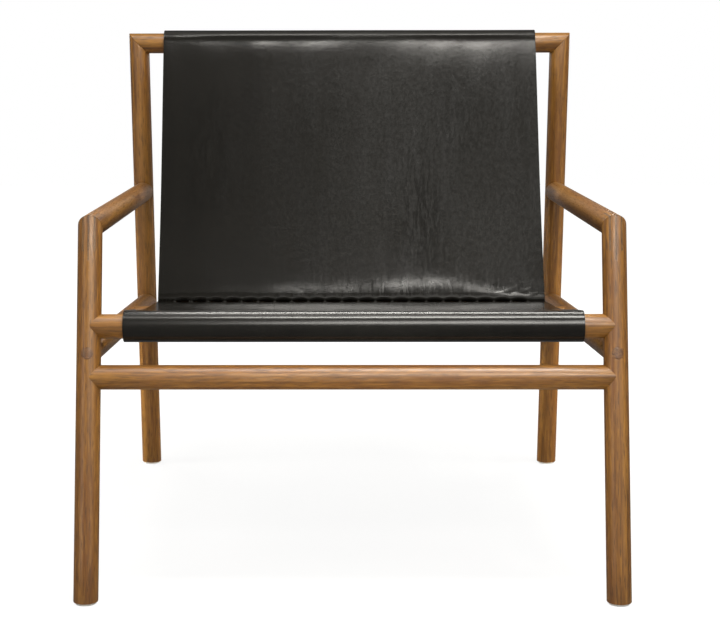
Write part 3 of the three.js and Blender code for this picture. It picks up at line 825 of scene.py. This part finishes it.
def topFold(x, below):  # under the top rail the stiff hide stands off, dips in a fold and swells out again
    look = foldLook
    if below < look["stand"][0]:
        return 0.0
    full = blend(look["leftFull"], 1, fade(x, *look["left"]))
    below -= ripple(x, 0, *look["sway"])
    share = fade(below, *look["stand"])
    lift = look["standOff"] * share * share * (3 - 2 * share)
    dip = math.sqrt(math.pi) / 2 * (1 + math.erf((below - look["at"]) / look["width"]))
    lift -= full * look["slope"] * look["width"] * dip
    past = max(0.0, below - look["swellFrom"])
    length = look["swellLength"] * (1 + look["longer"] * fade(x, *look["long"]))
    start = 1 / (1 / length + 1 / look["swellStart"])
    slope = look["swellSlope"] * blend(look["swellLeast"], 1, full)
    slope *= 1 + ripple(x, 0, *look["swellVary"])
    lift += slope * (length * (1 - math.exp(-past / length)) - start * (1 - math.exp(-past / start)))
    return lift * min(1.0, 1 - below / backLength)


# centre and width of the roll: plain, more at its peak, more at the right end
rollLook = {
    "height": 0.0006, "higher": 0.0013, "peak": (0.125, 0.095), "rightEnd": (0.16, 0.10),
    "centre": (0.0100, 0.0042, -0.0105), "width": (0.0125, 0.0050, -0.0064),
    "sway": (0.0010, 46, 0, 0, 12.0), "waver": (0.16, 21, 0, 0.3, 7.0), "fineWaver": (0.10, 64, 9, 0, 2.0),
}


def rollLift(x, s, above):  # the roll of leather just above the seam, fullest right of the middle
    look = rollLook
    peak = hump(x, *look["peak"])
    rightEnd = fade(x, *look["rightEnd"])
    centre, width = (a + b * peak + c * rightEnd for a, b, c in (look["centre"], look["width"]))
    centre += ripple(x, s, *look["sway"])
    waver = ripple(x, s, *look["waver"]) + ripple(x, s, *look["fineWaver"])
    return (look["height"] + look["higher"] * peak) * (1 + waver) * hump(above, centre, width)


slackLook = {
    "back": (0.0013, 6.5, 4.2, 0, 1.7), "backFine": (0.0006, 19, 7, 0, 5.1),
    "lipOver": 0.03, "topOver": 0.05, "wrinkle": (0.0005, 70, 120, 0, 9.0), "wrinkleLean": 6 / 7,
    "wrinkleX": (0.2, 0.05), "wrinkleAt": (0.012, 0.016), "wrinkleBand": (-0.01, 0.05),
    "seat": (0.0004, 5, 9, 0, 8.2), "seatFine": (0.00028, 17, 30, 0, 3.3), "seatFrom": (0.02, 0.05),
    "rollOver": 0.02, "rollEven": 0.8,
    "ridge": 0.00030, "ridges": ((0.22, 1.0), (0.335, 0.8)), "ridgeWidth": 0.030,
    "ridgeSway": (0.012, 9, 0, 0, 4.4), "ridgeVary": (0.5, 12, 0, 0, 6.6),
}


def backLift(x, s, above):  # slow swells over the hanging back
    look = slackLook
    swell = ripple(x, s, *look["back"]) + ripple(x, s, *look["backFine"])
    return swell * fade(above, 0.0, look["lipOver"]) * fade(s, topLeave, look["topOver"])


def wrinkleLift(x, s, above):  # small wrinkles past the last stitches on the right
    look = slackLook
    low, high = look["wrinkleBand"]
    if not low < above < high:
        return 0.0
    share = fade(x, *look["wrinkleX"]) * hump(above, *look["wrinkleAt"])
    return share * ripple(x + s * look["wrinkleLean"], s, *look["wrinkle"])


def rollShare(s):  # 0 on the seat, 1 on the front roll
    return fade(s, rollStart - slackLook["rollOver"], slackLook["rollOver"])


def seatLift(x, s):
    look = slackLook
    swell = ripple(x, s, *look["seat"]) + ripple(x, s, *look["seatFine"])
    return swell * fade(s - lowerLip, *look["seatFrom"]) * (1 - look["rollEven"] * rollShare(s))


def ridgeLift(x, s):  # long shallow ridges on the front roll
    look = slackLook
    if s <= rollStart:
        return 0.0
    onRoll = (s - rollStart) / (rollEnd - rollStart)
    sway = ripple(x, s, *look["ridgeSway"])
    lines = sum(share * hump(onRoll, at + sway, look["ridgeWidth"]) for at, share in look["ridges"])
    return look["ridge"] * (1 + ripple(x, s, *look["ridgeVary"])) * lines


def hideShape(x, s):
    point, out = onLine(s)
    above = upperLip - s
    lift = wrinkleLift(x, s, above) + seatLift(x, s) + ridgeLift(x, s)
    if above > 0:
        lift += rollLift(x, s, above) + topFold(x, s - topLeave) + backLift(x, s, above)
    place = point + seamMove(x, s) + out * lift
    if x < 0:  # the cut narrows a little towards the seat on this side
        x -= hideCut["leftTrim"] * x / halfWidth * fade(s, topLeave, backLength)
    return Vector((x, place.x, place.y))


# groups of long creases in the back, which also darken the colour as painted shade: place across and half
# width, share of the way down and reach, depth
hideCreases = (
    ((0.108, 0.042), (0.70, 0.22), 1.0), ((-0.222, 0.040), (0.44, 0.26), 0.9),
    ((0.180, 0.050), (0.33, 0.16), 0.5), ((-0.060, 0.060), (0.30, 0.14), 0.35),
)
wearLook = {
    "left": 0.64, "leftFade": (-0.28, 0.36), "fold": 0.62, "foldAt": (-0.0005, 0.0042),
    "top": 2.4, "topFade": (-0.0041, -0.0015), "lip": 1.8, "lipReach": 0.0045, "roll": 1.02,
    "striaAt": (0.016, 0.016), "striaLeast": 0.35, "striaX": (0.10, 0.13), "creaseFade": (0.97, -0.06),
    "lipBand": (-0.0095, 0.006), "topBand": (-0.0130, -0.0034),
}


def hideWear(x, s):  # smoother on the left and in the fold, duller at the top edge and the lip
    look = wearLook
    below = s - topLeave
    wear = blend(look["left"], 1, fade(x, *look["leftFade"]))
    wear *= blend(1, look["fold"], hump(below, *look["foldAt"]))
    wear *= blend(1, look["top"], fade(below, *look["topFade"]))
    wear *= blend(1, look["lip"], hump(s, upperLip, look["lipReach"]))
    stria = 0.0
    if s < upperLip:
        stria = hump(upperLip - s, *look["striaAt"]) * blend(look["striaLeast"], 1, hump(x, *look["striaX"]))
    down = below / backLength
    crease = sum(depth * hump(x, *across) * hump(down, *along) for across, along, depth in hideCreases)
    crease = min(1.0, crease) * fade(down, *look["creaseFade"])
    return Vector((blend(wear, look["roll"], rollShare(s)), stria, crease))


def makeSling():
    rows = rowPlaces()
    bm = bmesh.new()
    bmesh.ops.create_grid(bm, x_segments=hideCut["columns"], y_segments=len(rows) - 1, size=1.0)

    def rowOf(v):
        return rows[round((v.co.y + 1) / 2 * (len(rows) - 1))]

    def nearSeam(v):
        return min(abs(rowOf(v) - upperLip), abs(rowOf(v) - lowerLip)) < seamLook["band"]

    fine = [e for e in bm.edges if abs(e.verts[0].co.y - e.verts[1].co.y) < 1e-6 and nearSeam(e.verts[0])]
    bmesh.ops.subdivide_edges(bm, edges=fine, cuts=1, use_grid_fill=True)
    flatAt = bm.verts.layers.float_vector.new("hide")
    wearAt = bm.verts.layers.float_vector.new("wear")
    polishAt = bm.verts.layers.float.new("polish")
    for v in bm.verts:
        x = columnPlace(v.co.x)
        s = rowOf(v)
        v.co = hideShape(x, s)
        v[flatAt] = Vector((x, s, 0.0))
        v[wearAt] = hideWear(x, s)
        v[polishAt] = rollShare(s)
    # faces on the lip and along the top edge take the copy that reflects less: partly duller bent leather,
    # partly painted shade
    dullAndShadedBands = ((upperLip, wearLook["lipBand"]), (topLeave, wearLook["topBand"]))
    for face in bm.faces:
        s = sum(v[flatAt].y for v in face.verts) / len(face.verts)
        if any(low < s - at < high for at, (low, high) in dullAndShadedBands):
            face.material_index = lipSlot
    bmesh.ops.reverse_faces(bm, faces=bm.faces)  # grain side out
    piece = finishPiece("sling", bm, hideMaterials, "leather_sling")
    solid = piece.modifiers.new("thickness", "SOLIDIFY")
    solid.thickness = hideCut["thick"]
    solid.offset = 0.0
    solid.material_offset = 1
    solid.material_offset_rim = 2
    ease = piece.modifiers.new("burnished edges", "BEVEL")
    ease.width = hideCut["edgeRound"]
    ease.segments = hideCut["edgeSteps"]
    ease.limit_method = "ANGLE"
    ease.angle_limit = math.radians(hideCut["edgeAngle"])
    ease.use_clamp_overlap = True
    return piece, len(rows)


sling, rowCount = makeSling()
print("sling made,", rowCount, "rows")

# lacing: one thread that pulls the lips together at each stitch
laceLook = {
    "d": 0.0022, "reach": 0.0072, "bend": 0.0012, "corner": 0.3, "rounds": 3, "merge": 0.00001, "smooth": 60,
}


def lacePoints():
    middle = (onLine(upperLip)[0] + onLine(lowerLip)[0]) / 2
    before = Vector((-laceLook["bend"], 0, 0))
    points = []
    for i in range(seamLook["stitches"]):
        x = (i - lastStitch / 2) * seamLook["pitch"]
        reach = leftOf(seamOut) * (-laceLook["reach"] if i % 2 else laceLook["reach"])
        a, b = (Vector((x, p.x, p.y)) for p in (middle - reach, middle + reach))
        step = (b - a).normalized() * laceLook["bend"]
        corner = (before + step) * laceLook["corner"]
        points += [a + before, a + corner, a + step, b - step, b - corner, b - before]
    return points


curve = bpy.data.curves.new("lacingLine", "CURVE")
curve.dimensions = "3D"
curve.bevel_depth = laceLook["d"] / 2
curve.bevel_resolution = laceLook["rounds"]
curve.use_fill_caps = True
route = lacePoints()
spline = curve.splines.new("POLY")
spline.points.add(len(route) - 1)
for p, at in zip(spline.points, route):
    p.co = (*at, 1)
line = linked("lacingLine", curve)
laceMesh = bpy.data.meshes.new_from_object(line.evaluated_get(bpy.context.evaluated_depsgraph_get()))
bpy.data.objects.remove(line)
bm = bmesh.new()
bm.from_mesh(laceMesh)
bmesh.ops.remove_doubles(bm, verts=bm.verts, dist=laceLook["merge"])
lacing = solidPiece("seam_lacing", bm, thread, laceLook["smooth"])
print("lacing made")

# dome screws that hold the hide's two ends
domeLook = {
    "headD": 0.009, "headT": 0.003, "crownR": 0.0012, "crownDip": 0.00006, "rimT": 0.0005, "steps": 8,
    "shankD": 0.0035, "length": 0.020, "tipLength": 0.0035, "tipR": 0.0004, "sides": 32, "merge": 0.000005,
    "recessRim": 0.0002, "recessDeep": 0.0011, "count": 7, "margin": 0.040, "turnStep": 0.9, "smooth": 50,
}


def domeOutline(look):  # from the top of the head down, then the shank
    r = look["headD"] / 2
    shankR = look["shankD"] / 2
    outline = [(look["crownR"], look["headT"] - look["crownDip"])]
    for k in range(1, look["steps"] + 1):
        a = math.pi / 2 * k / look["steps"]
        across = blend(look["crownR"], r, math.sin(a))
        outline.append((across, blend(look["rimT"], look["headT"], math.cos(a))))
    return outline + [(r, 0.0), (shankR, 0.0), (shankR, look["tipLength"] - look["length"]),
                      (look["tipR"], -look["length"])]


domeSpan = hideCut["width"] - 2 * domeLook["margin"]
domeSeat = barR + hideCut["thick"] + 2 * hideCut["fit"]
for row, axisPoint, angle in (
        ("top", postPoint(0, chair["topZ"]), -20), ("front", legPoint(0, chair["frontRailZ"]), 315)):
    aim = heading(math.radians(angle))
    out = Vector((0, aim.x, aim.y))
    for i in range(domeLook["count"]):
        x = -domeSpan / 2 + domeSpan * i / (domeLook["count"] - 1)
        seat = Vector((x, axisPoint.y, axisPoint.z)) + out * domeSeat
        bm = bmesh.new()
        profile = [bm.verts.new((px, 0, pz)) for px, pz in domeOutline(domeLook)]
        edges = [bm.edges.new(pair) for pair in zip(profile, profile[1:])]
        bmesh.ops.spin(bm, geom=profile + edges, cent=(0, 0, 0), axis=(0, 0, 1), angle=2 * math.pi,
                       steps=domeLook["sides"], use_merge=True)
        bmesh.ops.remove_doubles(bm, verts=bm.verts, dist=domeLook["merge"])
        bmesh.ops.holes_fill(bm, edges=[e for e in bm.edges if e.is_boundary], sides=0)
        crown = max(bm.faces, key=lambda f: f.calc_center_median().z)
        bmesh.ops.inset_region(bm, faces=[crown], thickness=domeLook["recessRim"], use_even_offset=True)
        bmesh.ops.translate(bm, vec=(0, 0, -domeLook["recessDeep"]), verts=crown.verts)
        place = Matrix.Translation(seat) @ turnTo(out) @ Matrix.Rotation(i * domeLook["turnStep"], 4, "Z")
        bmesh.ops.transform(bm, matrix=place, verts=bm.verts)
        solidPiece(row + "_dome_screw_" + str(i + 1), bm, blackSteel, domeLook["smooth"])
print("dome screws made")

# floor, light and camera

stageLook = {
    "size": 14.0, "glow": 0.86, "paper": 0.16, "bounce": 0.60, "mirrored": 0.16, "ambient": 0.09,
    "fadeFrom": 0.55, "fadeTo": 1.5,
}


def greyOf(level):
    return (level, level, level, 1)


def raysOf(tree):  # camera and glass rays see the plain white ground, reflections see it dimmer
    path = add(tree, "ShaderNodeLightPath").outputs
    return maths(tree, "MAXIMUM", path["Is Camera Ray"], path["Is Transmission Ray"]), path["Is Glossy Ray"]


def eitherOf(tree, fac, first, second):
    return add(tree, "ShaderNodeMixShader", {0: fac, 1: first.outputs[0], 2: second.outputs[0]})


def makeFloor(look):
    mat, tree, shader = newMaterial("pale floor")
    tree.nodes.remove(shader)
    seen, reflected = raysOf(tree)
    reach = add(tree, "ShaderNodeVectorMath", {0: objectPlace(tree)}, operation="LENGTH").outputs["Value"]
    away = spread(tree, reach, look["fadeFrom"], look["fadeTo"], look["glow"], 1.0)  # white further out
    paper = add(tree, "ShaderNodeBsdfDiffuse", {"Color": greyOf(look["paper"])})
    glow = add(tree, "ShaderNodeEmission", {"Color": greyOf(1), "Strength": away})
    lit = add(tree, "ShaderNodeAddShader", {0: paper.outputs[0], 1: glow.outputs[0]})
    plain = add(tree, "ShaderNodeBsdfDiffuse", {"Color": greyOf(look["bounce"])})
    dim = add(tree, "ShaderNodeEmission", {"Color": greyOf(1), "Strength": look["mirrored"]})
    shown = eitherOf(tree, reflected, eitherOf(tree, seen, plain, lit), dim)
    under = add(tree, "ShaderNodeNewGeometry").outputs["Backfacing"]
    shown = eitherOf(tree, under, shown, add(tree, "ShaderNodeBsdfTransparent"))  # clear from below
    tree.links.new(shown.outputs[0], tree.nodes["Material Output"].inputs["Surface"])
    bm = bmesh.new()
    bmesh.ops.create_grid(bm, x_segments=1, y_segments=1, size=look["size"] / 2)
    mesh = meshFrom("floor", bm)
    mesh.materials.append(mat)
    return linked("floor", mesh)


floor = makeFloor(stageLook)

world = bpy.data.worlds.new("studio")
bpy.context.scene.world = world
world.use_nodes = True
tree = world.node_tree
seen, reflected = raysOf(tree)
seen = maths(tree, "MAXIMUM", seen, maths(tree, "MULTIPLY", reflected, stageLook["mirrored"]))
ground = tree.nodes["Background"].inputs
ground["Color"].default_value = greyOf(1)
tree.links.new(maths(tree, "MAXIMUM", seen, stageLook["ambient"]), ground["Strength"])

# place, aim, size, watts, spread and whether mirrored: some would glare on the hide at a flat angle
lamps = {
    "overhead": ((0.34, -0.62, 2.50), (0.20, -0.10, 0.35), (1.45, 0.36), 58, 180, True),
    "high": ((0.10, 0.10, 3.00), (0.0, 0.0, 0.30), (2.4, 0.5), 9, 180, True),
    "behind": ((0.10, 0.36, 1.34), (0.06, -0.38, 0.38), (0.95, 0.10), 1.0, 50, True),
    "front": ((0.40, -1.76, 1.42), (0.0, -0.20, 0.36), (1.25, 0.32), 25.5, 180, True),
    "topLeft": ((-0.95, -0.35, 2.40), (-0.20, 0.0, 0.40), (0.9, 0.4), 9, 180, True),
    "frontLeft": ((-2.0, -2.2, 0.7), (0.0, 0.0, 0.3), (1.0, 1.0), 8, 180, True),
    "frontRight": ((2.0, -2.2, 0.7), (0.0, 0.0, 0.3), (1.0, 1.0), 4, 180, True),
    "upLeft": ((-1.9, -1.3, 2.0), (0.0, -0.1, 0.4), (0.9, 0.9), 12, 180, True),
    "upRight": ((1.9, -1.3, 2.0), (0.0, -0.1, 0.4), (0.9, 0.9), 11, 180, True),
    "sideLeft": ((-2.6, -0.6, 0.6), (0.0, 0.2, 0.35), (0.9, 0.9), 5, 180, False),
    "sideRight": ((2.6, -0.6, 0.6), (0.0, 0.2, 0.35), (0.9, 0.9), 3, 180, False),
    "backLeft": ((-2.0, 2.3, 1.5), (0.0, 0.1, 0.4), (1.0, 1.0), 21, 180, True),
    "backRight": ((2.0, 2.3, 1.5), (0.0, 0.1, 0.4), (1.0, 1.0), 21, 180, True),
    "frontFill": ((0.0, -1.15, 0.34), (0.0, -0.30, 0.30), (0.5, 0.12), 0.3, 32, False),
    "lowLeft": ((-1.7, 0.05, 0.30), (-0.30, 0.36, 0.12), (0.5, 0.4), 1.4, 34, False),
    "lowRight": ((1.7, 0.05, 0.30), (0.30, 0.36, 0.12), (0.5, 0.4), 1.4, 34, False),
}
lampTint = (1.0, 0.97, 0.91)
for name, (at, aim, size, watts, lampSpread, mirrored) in lamps.items():
    data = bpy.data.lights.new(name, "AREA")
    data.shape = "RECTANGLE"
    data.size, data.size_y = size
    data.energy = watts
    data.spread = math.radians(lampSpread)
    data.color = lampTint
    lamp = linked(name, data)
    lamp.visible_camera = False
    lamp.visible_glossy = mirrored
    lamp.location = at
    lamp.rotation_euler = (Vector(aim) - Vector(at)).to_track_quat("-Z", "Y").to_euler()

shot = {
    "at": (-0.0160, -2.4439, 0.680), "turn": 0.48, "dip": 8.65, "roll": -0.1,
    "lens": 84.0, "sensor": 36.0, "shiftX": 0.0478,
}
camera = bpy.data.cameras.new("camera")
camera.sensor_width = shot["sensor"]
camera.lens = shot["lens"]
camera.shift_x = shot["shiftX"]
cameraObject = linked("camera", camera)
cameraObject.location = shot["at"]
turn = math.radians(shot["turn"])
dip = math.radians(shot["dip"])
sight = Vector((-math.sin(turn) * math.cos(dip), math.cos(turn) * math.cos(dip), -math.sin(dip)))
aimed = sight.to_track_quat("-Z", "Y") @ Quaternion((0, 0, 1), math.radians(shot["roll"]))
cameraObject.rotation_euler = aimed.to_euler()
bpy.context.scene.camera = cameraObject
bpy.context.scene.view_settings.view_transform = "Standard"
print("stage, light and camera set")
